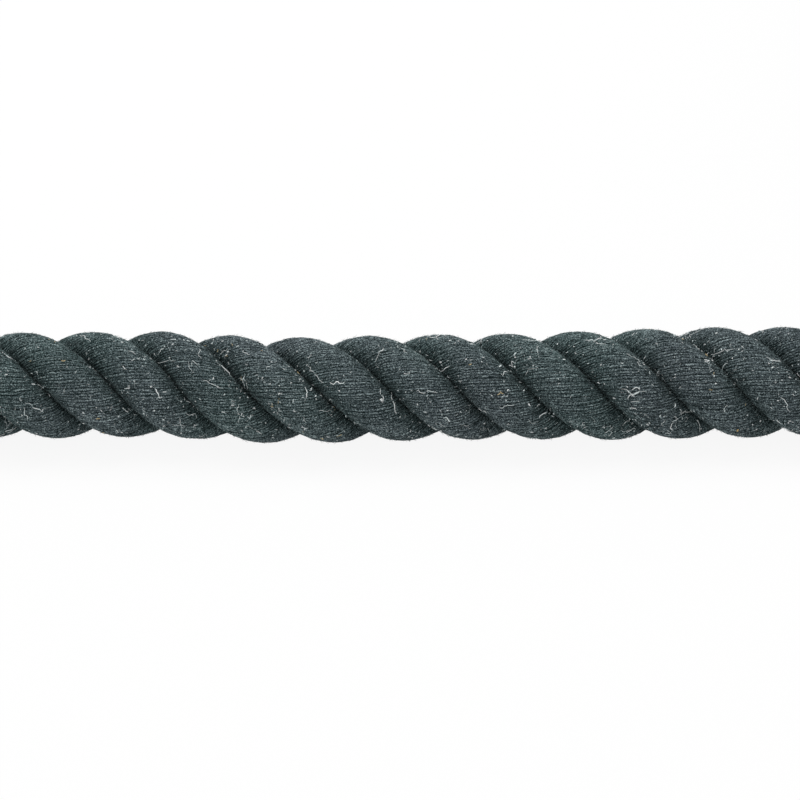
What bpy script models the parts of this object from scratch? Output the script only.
"""A battle rope: thick three-strand rope with a grip sleeve and a cap on each end.

A straight stretch lies along X, with its three strands as separate pieces laid round each
other. The rest of the rope is put away in a round coil of two layers, held by three ties.
Metres, +Z up. The finished part stands on Z = 0, centred on the origin.
"""
import math
from bisect import bisect_right

import bmesh
import bpy
import numpy as np
from mathutils import Matrix, Vector
from mathutils.geometry import convex_hull_2d, interpolate_bezier

for old in list(bpy.data.objects):
    bpy.data.objects.remove(old)
part = bpy.data.collections.new("battle_rope")
bpy.context.scene.collection.children.link(part)

# Clearances
fit_gap = 0.0003
turn_gap = 0.0012
weld_distance = 0.00001

# The rope
rope_length = 9.0
rope_diameter = 0.038
lay_length = 0.0737
first_strand_angle = math.radians(-21)

# The straight stretch, from the rope's first end to where the coil begins
stretch_length = 0.91
laid_length = 0.64
route_step = 0.006

# The coil, whose radius is that of the middle of its turns
coil_radius = 0.207
straight_end = 0.045

# The grip sleeves, with the tape and the cap's spigot inside their ends
sleeve_length = 0.25
sleeve_wall = 0.002
sleeve_edge = 0.0005
sleeve_step = 0.008
tape_length = 0.03
tape_thickness = 0.0006
cap_flange = 0.005
cap_crown = 0.0012
cap_edge = 0.0016
spigot_length = 0.012
spigot_wall = 0.0028

# The ties and their wire rings
tie_width = 0.04
tie_thickness = 0.002
tie_sewn_tail = 0.016
tie_free_tail = 0.06
tie_rise = 0.018
ring_wire = 0.003
ring_spacing = 0.015
ring_corner = 0.003
ring_side_gap = 0.0015
tie_angles = [math.radians(angle) for angle in (0, 105, 210)]

# Counts of strands and facets
strand_count = 3
points_per_lay = 14
strand_sides = 8
turn_points = 24
grip_turn_points = 72
coil_sides = 6
round_sides = 24
ring_sides = 8
arc_points = 5

# The straight stretch's route: how far along it, how far the rope wanders sideways in its
# own diameters, and how much of the lift to the grip or the coil it has there
route_shares = (
    (0.0, 0.0, 1.0),
    (0.06, 0.0, 1.0),
    (0.12, 0.0, 1.0),
    (0.18, 0.0, 1.0),
    (0.24, 0.0, 1.0),
    (0.27, 0.0, 1.0),
    (0.305, 0.0, 0.5),
    (0.34, 0.01, 0.1),
    (0.393, 0.04, 0.03),
    (0.44, -0.055, 0.02),
    (0.48, -0.025, 0.02),
    (0.511, 0.0, 0.02),
    (0.538, 0.008, 0.02),
    (0.578, 0.042, 0.02),
    (0.617, 0.074, 0.02),
    (0.66, 0.08, 0.02),
    (0.72, 0.08, 0.05),
    (0.79, 0.08, 0.3),
    (0.86, 0.08, 0.75),
    (0.93, 0.08, 1.0),
    (1.0, 0.08, 1.0),
)

# Worked out from the sizes above
turn = 2 * math.pi
rope_radius = rope_diameter / 2
facet_share = math.cos(math.pi / round_sides)
tape_bore = (rope_radius + fit_gap) / facet_share
tape_radius = tape_bore + tape_thickness
barrel_radius = (rope_radius + fit_gap + sleeve_wall) / facet_share
sleeve_end_radius = (tape_radius + fit_gap + sleeve_wall) / facet_share
sleeve_overhang = spigot_length + fit_gap
sleeve_reach = sleeve_length - sleeve_overhang
sleeve_narrows = tape_length + fit_gap + sleeve_step
coil_base = tie_thickness + fit_gap + rope_radius
turn_pitch = rope_diameter + turn_gap
grip_swell = sleeve_end_radius - rope_radius


class Line:
    """A centre line, measured along its length, which runs straight on past both ends."""

    def __init__(self, points):
        self.points = [Vector(point).to_3d() for point in points]
        self.marks = [0.0]
        for before, after in zip(self.points, self.points[1:]):
            self.marks.append(self.marks[-1] + (after - before).length)
        self.length = self.marks[-1]

    def leg(self, distance):
        """Return the number of the leg that a distance falls on."""
        return min(max(bisect_right(self.marks, distance) - 1, 0), len(self.points) - 2)

    def direction(self, distance):
        leg = self.leg(distance)
        return (self.points[leg + 1] - self.points[leg]).normalized()

    def at(self, distance):
        past = distance - self.marks[self.leg(distance)]
        return self.points[self.leg(distance)] + self.direction(distance) * past

    def bends(self, start, end):
        """Return the distances, between two others, where the line has a corner."""
        found = []
        for i in range(1, len(self.points) - 1):
            before = self.points[i] - self.points[i - 1]
            after = self.points[i + 1] - self.points[i]
            inside = start + weld_distance < self.marks[i] < end - weld_distance
            if inside and before.angle(after) > math.radians(0.05):
                found.append(self.marks[i])
        return found

    def stretch(self, start, end):
        """Return the line's places from one distance to another, corners and all."""
        return [self.at(distance) for distance in [start, *self.bends(start, end), end]]


def smooth_step(share):
    """Rise smoothly from 0 to 1 as the share does."""
    share = min(max(share, 0.0), 1.0)
    return share * share * (3 - 2 * share)


def smooth_line(points, step):
    """Read points off a smooth curve through the given ones, about a step apart."""
    spans = [(after - before).length for before, after in zip(points, points[1:])]
    last = len(points) - 1
    slopes = []
    for i in range(len(points)):
        before, after = max(i - 1, 0), min(i + 1, last)
        slopes.append((points[after] - points[before]) / sum(spans[before:after]))
    line = [points[0]]
    for i, span in enumerate(spans):
        leave = points[i] + slopes[i] * span / 3
        arrive = points[i + 1] - slopes[i + 1] * span / 3
        count = max(round(span / step), 1) + 1
        line += interpolate_bezier(points[i], leave, arrive, points[i + 1], count)[1:]
    return line


def stretch_points():
    """Return the smooth centre line of the straight stretch."""
    points = []
    for along, aside, lift in route_shares:
        lifted = sleeve_end_radius if along < 0.5 else coil_base
        height = rope_radius + lift * (lifted - rope_radius)
        points.append(Vector((along * stretch_length, aside * rope_diameter, height)))
    return smooth_line(points, route_step)


def coil_point(angle, turns, start):
    """Return a place on the coil's centre line, by its angle from the coil's start.

    The rope winds in on the first layer and out on the second, and climbs in the half turn
    where the spiral reverses. Before the grip it moves out and up by the sleeve's thickness.
    """
    half = turns * turn
    ease = turn / 8
    outer = coil_radius + turn_pitch * turns / 2
    past = abs(angle - half)
    wound = half - (past if past > ease else (past * past + ease * ease) / (2 * ease))
    climb = turn_pitch * smooth_step((angle - half) / (turn / 2) + 0.5)
    grip_angle = 2 * half - (sleeve_length + straight_end) / outer
    swell = grip_swell * smooth_step((angle - grip_angle) / (turn / 2) + 1)
    radius = outer - turn_pitch * wound / turn + swell
    bearing = angle - turn / 4
    across = radius * math.cos(bearing)
    away = outer + radius * math.sin(bearing)
    return start + Vector((across, away, climb + swell))


def coil_points(turns, start, turn_count, grip_count):
    """Return the coil's points past its start, with closer ones in the grip and a last
    stretch that is straight."""
    whole = 2 * turns * turn
    plain = whole - (sleeve_length + straight_end) / coil_radius
    angles = [turn * i / turn_count for i in range(1, int(plain / turn * turn_count) + 1)]
    rest = whole - angles[-1]
    grip_steps = math.ceil(rest / turn * grip_count)
    angles += [angles[-1] + rest * (i + 1) / grip_steps for i in range(grip_steps)]
    points = [coil_point(angle, turns, start) for angle in angles]
    way = (points[-1] - points[-2]).normalized()
    return points + [points[-1] + way * straight_end]


def rope_route():
    """Return the stretch's line, the coil's line and its centre, with as many turns as take
    up the rope's length."""
    stretch = stretch_points()
    start = stretch[-1]
    fine = 4 * turn_points
    turns = (rope_length - stretch_length) / (2 * turn * coil_radius)
    for _ in range(8):
        length = Line(stretch + coil_points(turns, start, fine, fine)).length
        turns += (rope_length - length) / (2 * turn * coil_radius)
    print(f"rope: {length:.4f} m long, {turns:.3f} turns in each of two layers")
    coil = [start] + coil_points(turns, start, turn_points, grip_turn_points)
    centre = start + Vector((0, coil_radius + turn_pitch * turns / 2, 0))
    return Line(stretch), Line(coil), centre


def strand_radius_for(outer, lay, gap):
    """Return the radius of the fattest strands that lie round each other in a rope."""
    thin, thick = 0.0, outer
    swing = np.linspace(-math.pi, math.pi, 4001)
    for _ in range(40):
        radius = (thin + thick) / 2
        helix = outer - radius
        along = lay * swing / turn
        aside = helix * np.cos(swing + turn / strand_count) - helix
        above = helix * np.sin(swing + turn / strand_count)
        if np.sqrt(along**2 + aside**2 + above**2).min() >= 2 * radius + gap:
            thin = radius
        else:
            thick = radius
    return thin


def make_material(name, colour, roughness, metallic=0.0):
    material = bpy.data.materials.new(name)
    material.use_nodes = True
    shader = material.node_tree.nodes["Principled BSDF"]
    shader.inputs["Base Color"].default_value = (*colour, 1)
    shader.inputs["Roughness"].default_value = roughness
    shader.inputs["Metallic"].default_value = metallic
    return material


def add_object(name, data, material):
    """Place a new object in the part's collection."""
    made = bpy.data.objects.new(name, data)
    data.materials.append(material)
    part.objects.link(made)
    return made


def tube(name, points, radii, sides, material, caps=True, closed=False):
    """Return a curve object that sweeps a round section along the points."""
    curve = bpy.data.curves.new(name, "CURVE")
    curve.dimensions = "3D"
    curve.bevel_depth = max(radii)
    curve.bevel_resolution = (sides - 4) // 2
    curve.use_fill_caps = caps
    spline = curve.splines.new("POLY")
    spline.points.add(len(points) - 1)
    spline.use_cyclic_u = closed
    spline.use_smooth = True
    for place, point, radius in zip(spline.points, points, radii):
        place.co = (*point, 1)
        place.radius = radius / max(radii)
    return add_object(name, curve, material)


def to_mesh(curve_object):
    """Replace a curve object by a welded mesh object of the same name."""
    name = curve_object.name
    bpy.context.view_layer.update()
    graph = bpy.context.evaluated_depsgraph_get()
    mesh = bpy.data.meshes.new_from_object(curve_object.evaluated_get(graph))
    matrix = curve_object.matrix_world.copy()
    bpy.data.objects.remove(curve_object)
    shape = bmesh.new()
    shape.from_mesh(mesh)
    bmesh.ops.remove_doubles(shape, verts=shape.verts, dist=weld_distance)
    shape.to_mesh(mesh)
    shape.free()
    made = bpy.data.objects.new(name, mesh)
    made.matrix_world = matrix
    part.objects.link(made)
    return made


def cut_square(made, place, outward):
    """Cut a closed mesh off beyond a plane and close the cut with a flat face."""
    shape = bmesh.new()
    shape.from_mesh(made.data)
    whole = shape.verts[:] + shape.edges[:] + shape.faces[:]
    bmesh.ops.bisect_plane(shape, geom=whole, plane_co=place, plane_no=outward, clear_outer=True)
    rim = [edge for edge in shape.edges if edge.is_boundary]
    bmesh.ops.holes_fill(shape, edges=rim)
    shape.to_mesh(made.data)
    shape.free()


def turned(name, profile, closed, material):
    """Return an object made by turning a profile of (radius, height) about its own Z."""
    mesh = bpy.data.meshes.new(name)
    count = len(profile)
    edges = [(i, (i + 1) % count) for i in range(count if closed else count - 1)]
    mesh.from_pydata([(radius, 0, height) for radius, height in profile], edges, [])
    made = add_object(name, mesh, material)
    screw = made.modifiers.new("turn", "SCREW")
    screw.steps = round_sides
    screw.render_steps = round_sides
    screw.use_merge_vertices = True
    screw.merge_threshold = weld_distance
    return made


def make_strands(stretch):
    """Lay the strands round the straight stretch and cut both ends square."""
    radius = strand_radius_for(rope_radius, lay_length, fit_gap)
    helix = rope_radius - radius
    step = lay_length / points_per_lay
    print(f"strands: {2 * radius:.5f} m thick, their centres {helix:.5f} m from the axis")
    for number in range(strand_count):
        points = []
        for i in range(-strand_count, math.ceil(laid_length / step) + strand_count + 1):
            along = i * step
            way = stretch.direction(along)
            side = Vector((0, 0, 1)).cross(way).normalized()
            above = way.cross(side)
            angle = first_strand_angle + turn * (along / lay_length + number / strand_count)
            place = side * math.cos(angle) + above * math.sin(angle)
            points.append(stretch.at(along) + place * helix)
        yarn = make_material(f"strand yarn {number + 1}", (0.047, 0.061, 0.065), 0.95)
        radii = [radius] * len(points)
        strand = to_mesh(tube(f"strand_{number + 1}", points, radii, strand_sides, yarn))
        cut_square(strand, stretch.at(0), -stretch.direction(0))
        cut_square(strand, stretch.at(laid_length), stretch.direction(laid_length))
        strand.data.set_sharp_from_angle(angle=math.radians(60))


def make_coil(stretch, coil):
    """Sweep the put-away rope, from where the strands end to the rope's second end."""
    start = laid_length + fit_gap
    rest = stretch.length - start
    legs = math.ceil(rest / (2 * rope_diameter))
    points = [stretch.at(start), stretch.at(start + rope_diameter)]
    points += [stretch.at(start + rest * i / legs) for i in range(1, legs + 1)]
    points += coil.points[1:]
    yarn = make_material("coiled rope yarn", (0.044, 0.057, 0.061), 0.95)
    tube("rope_coil", points, [rope_radius] * len(points), coil_sides, yarn)
    return Line(points)


def print_least_gap(line):
    """Print how near the coiled rope comes to itself, measured on points of its centre line."""
    marks = np.arange(0, line.length, rope_radius / 2)
    points = np.array([line.at(mark) for mark in marks])
    apart = np.abs(marks[:, None] - marks[None, :]) > 3 * rope_diameter
    distance = np.linalg.norm(points[:, None] - points[None, :], axis=2)
    print(f"rope_coil: least gap to itself {distance[apart].min() - rope_diameter:.5f} m")


class RopeEnd:
    """One end of the rope. Distances are measured from the rope's end into it."""

    def __init__(self, line, number):
        self.line = line
        self.number = number
        self.far = number == 2

    def mark(self, inward):
        return self.line.length - inward if self.far else inward

    def at(self, inward):
        return self.line.at(self.mark(inward))

    def matrix(self, inward):
        """Return a place on the rope, with its own Z out of the rope's end."""
        along = self.line.direction(self.mark(0))
        turned_out = (along if self.far else -along).to_track_quat("Z", "Y")
        return Matrix.LocRotScale(self.at(inward), turned_out, None)

    def stretch(self, outer, inner):
        """Return the places from one distance to a deeper one, corners and all."""
        if self.far:
            return self.line.stretch(self.mark(inner), self.mark(outer))[::-1]
        return self.line.stretch(self.mark(outer), self.mark(inner))


def make_end_tape(end):
    """Wrap the whipping of tape round the strands' cut ends."""
    profile = [
        (tape_radius, 0),
        (tape_radius, -tape_length),
        (tape_bore, -tape_length),
        (tape_bore, 0),
    ]
    cloth = make_material(f"whipping tape {end.number}", (0.02, 0.02, 0.022), 0.8)
    tape = turned(f"end_tape_{end.number}", profile, True, cloth)
    tape.matrix_world = end.matrix(0)


def make_end_cap(end):
    """Turn the moulded cap: a crowned flange over the sleeve's mouth and a hollow spigot."""
    profile = [(0, cap_flange + cap_crown), (sleeve_end_radius / 2, cap_flange + cap_crown * 0.75)]
    for i in range(arc_points):
        angle = turn / 4 * (1 - i / (arc_points - 1))
        radius = sleeve_end_radius - cap_edge + cap_edge * math.cos(angle)
        profile.append((radius, cap_flange - cap_edge + cap_edge * math.sin(angle)))
    profile += [
        (sleeve_end_radius, 0),
        (tape_radius, 0),
        (tape_radius, -spigot_length),
        (tape_radius - spigot_wall, -spigot_length),
        (tape_radius - spigot_wall, 0),
        (0, 0),
    ]
    moulded = make_material(f"moulded cap {end.number}", (0.016, 0.016, 0.017), 0.5)
    cap = turned(f"end_cap_{end.number}", profile, False, moulded)
    cap.matrix_world = end.matrix(-sleeve_overhang)


def make_grip_sleeve(end):
    """Shrink the grip sleeve over the rope: one even wall, wider where the tape is."""
    wide = end.stretch(fit_gap - sleeve_overhang, tape_length + fit_gap)
    narrow = end.stretch(sleeve_narrows, sleeve_reach)
    points = wide + narrow
    radii = [sleeve_end_radius] * len(wide) + [barrel_radius] * len(narrow)
    shrunk = make_material(f"grip sleeve {end.number}", (0.018, 0.018, 0.019), 0.55)
    skin = tube(f"grip_sleeve_{end.number}", points, radii, round_sides, shrunk, caps=False)
    sleeve = to_mesh(skin)
    wall = sleeve.modifiers.new("wall", "SOLIDIFY")
    wall.thickness = sleeve_wall
    wall.offset = -1
    wall.use_even_offset = True
    rim = sleeve.modifiers.new("rim", "BEVEL")
    rim.width = sleeve_edge
    rim.segments = 1
    rim.limit_method = "ANGLE"
    rim.angle_limit = math.radians(60)


def outside_radius(inward):
    """Return the radius over whatever is on the rope at a distance from its end."""
    if inward > sleeve_reach:
        return rope_radius
    return barrel_radius if inward > sleeve_narrows else sleeve_end_radius


def turns_at(rope, coil_start, centre, outward):
    """Return (distance out, height, radius) along each bit of rope that a tie goes round."""
    sideways = outward.cross(Vector((0, 0, 1)))
    reach = tie_width / 2 + ring_side_gap + ring_wire
    rows = []
    distance = coil_start
    while distance < rope.length + sleeve_overhang + cap_flange + cap_crown:
        offset = rope.at(distance) - centre
        if abs(offset.dot(sideways)) < reach and offset.dot(outward) > 0:
            radius = outside_radius(rope.length - distance)
            rows.append((offset.dot(outward), offset.z, radius))
        distance += rope_radius / 8
    return rows


def taut_outline(rows, margin):
    """Return the clockwise outline that a taut band takes round these circles, with its top
    run last, so that the outline starts and ends at that run's two ends."""
    cloud = []
    for out, height, radius in rows:
        for i in range(turn_points):
            angle = turn * i / turn_points
            spot = Vector((math.cos(angle), math.sin(angle))) * (radius + margin)
            cloud.append(Vector((out, height)) + spot)
    hull = [cloud[i] for i in reversed(convex_hull_2d(cloud))]
    corners = []
    for i, point in enumerate(hull):
        before = point - hull[i - 1]
        after = hull[(i + 1) % len(hull)] - point
        if before.length > weld_distance and abs(before.angle_signed(after)) > math.radians(1):
            corners.append(point)
    lengths = [(corner - corners[i - 1]).length for i, corner in enumerate(corners)]
    runs = [i for i, corner in enumerate(corners) if corner.y > np.mean([p.y for p in corners])]
    flat = [i for i in runs if abs((corners[i] - corners[i - 1]).normalized().y) < 0.5]
    top = max(flat, key=lambda i: lengths[i])
    return corners[top:] + corners[:top]


def tie_path(rows):
    """Return the tie's path round the turns, with both ends folded back over the ring's
    bars, and the ring's middle and slope."""
    under = fit_gap + tie_thickness / 2
    lap = tie_thickness + fit_gap
    wrap = ring_wire / 2 + under
    bar = ring_spacing / 2
    inner = taut_outline(rows, under)
    outer = taut_outline(rows, under + lap)
    middle = (inner[0] + inner[-1]) / 2
    way = (inner[0] - inner[-1]).normalized()
    up = Vector((-way.y, way.x))
    over_middle = (outer[0] + outer[-1]) / 2
    round_line = Line([middle, *inner, middle])
    loop = [place.to_2d() for place in round_line.stretch(bar, round_line.length - bar)]

    def fold(hand, outline, tail):
        """Return one end: round its bar from below, then back along the band."""
        centre = middle + hand * bar + up * wrap
        points = []
        for i in range(1, 2 * arc_points):
            angle = math.pi * i / (2 * arc_points - 1)
            points.append(centre - hand * wrap * math.sin(angle) - up * wrap * math.cos(angle))
        for i in range(1, arc_points):
            share = i / arc_points
            height = 2 * wrap + (lap - 2 * wrap) * smooth_step(share)
            points.append(middle + hand * (bar + tie_rise * share) + up * height)
        over = Line([over_middle, *outline])
        lying = over.stretch(bar + tie_rise, bar + tie_rise + tail)
        return points + [place.to_2d() for place in lying]

    free = fold(way, outer, tie_free_tail)
    sewn = fold(-way, outer[::-1], tie_sewn_tail)
    return free[::-1] + loop + sewn, middle + up * wrap, way


def make_tie(number, rope, coil_start, centre, angle):
    """Make one tie round the coil's turns, with its ring."""
    outward = Vector((math.cos(angle), math.sin(angle), 0))
    base = Vector((centre.x, centre.y, 0))
    path, ring_middle, way = tie_path(turns_at(rope, coil_start, base, outward))
    plane = Matrix((outward, (0, 0, 1), outward.cross(Vector((0, 0, 1))))).transposed().to_4x4()
    plane.translation = base
    ribbon = bpy.data.curves.new(f"tie_strap_{number}", "CURVE")
    ribbon.dimensions = "2D"
    ribbon.fill_mode = "NONE"
    ribbon.extrude = tie_width / 2
    spline = ribbon.splines.new("POLY")
    spline.points.add(len(path) - 1)
    for place, point in zip(spline.points, path):
        place.co = (point.x, point.y, 0, 1)
    webbing = make_material(f"tie webbing {number}", (0.02, 0.02, 0.021), 0.85)
    band = add_object(f"tie_strap_{number}", ribbon, webbing)
    band.matrix_world = plane
    strap = to_mesh(band)
    wall = strap.modifiers.new("webbing", "SOLIDIFY")
    wall.thickness = tie_thickness
    wall.offset = 0
    wall.use_even_offset = True
    make_ring(number, plane, ring_middle, way)


def make_ring(number, plane, middle, way):
    """Bend the tie's rectangular ring of wire."""
    half_width = tie_width / 2 + ring_side_gap + ring_wire / 2
    points = []
    for quarter in range(4):
        along = (ring_spacing / 2 - ring_corner) * (1 if quarter in (0, 3) else -1)
        across = (half_width - ring_corner) * (1 if quarter in (0, 1) else -1)
        for i in range(arc_points):
            angle = turn / 4 * (quarter + i / (arc_points - 1))
            flat = middle + way * (along + ring_corner * math.cos(angle))
            points.append(plane @ Vector((*flat, across + ring_corner * math.sin(angle))))
    wire = make_material(f"tie ring {number}", (0.03, 0.03, 0.031), 0.4)
    radii = [ring_wire / 2] * len(points)
    tube(f"tie_ring_{number}", points, radii, ring_sides, wire, caps=False, closed=True)


def stand_on_origin():
    """Parent every piece to one empty and move it so that the part stands centred on Z = 0."""
    bpy.context.view_layer.update()
    graph = bpy.context.evaluated_depsgraph_get()
    corners = []
    for made in part.objects:
        mesh = made.evaluated_get(graph).to_mesh()
        mesh.transform(made.matrix_world)
        points = np.empty(len(mesh.vertices) * 3)
        mesh.vertices.foreach_get("co", points)
        points = points.reshape(-1, 3)
        corners += [points.min(axis=0), points.max(axis=0)]
    low, high = np.min(corners, axis=0), np.max(corners, axis=0)
    middle = bpy.data.objects.new("battle_rope_middle", None)
    for made in part.objects:
        made.parent = middle
    part.objects.link(middle)
    middle.location = (-(low[0] + high[0]) / 2, -(low[1] + high[1]) / 2, -low[2])
    size = high - low
    print(f"size: {size[0]:.4f} x {size[1]:.4f} x {size[2]:.4f} m, moved by {middle.location[:]}")


stretch_line, coil_line, coil_centre = rope_route()
make_strands(stretch_line)
rope_line = make_coil(stretch_line, coil_line)
print_least_gap(rope_line)
for rope_end in (RopeEnd(stretch_line, 1), RopeEnd(rope_line, 2)):
    make_end_tape(rope_end)
    make_end_cap(rope_end)
    make_grip_sleeve(rope_end)
for tie_number, tie_angle in enumerate(tie_angles, start=1):
    make_tie(tie_number, rope_line, rope_line.length - coil_line.length, coil_centre, tie_angle)
stand_on_origin()
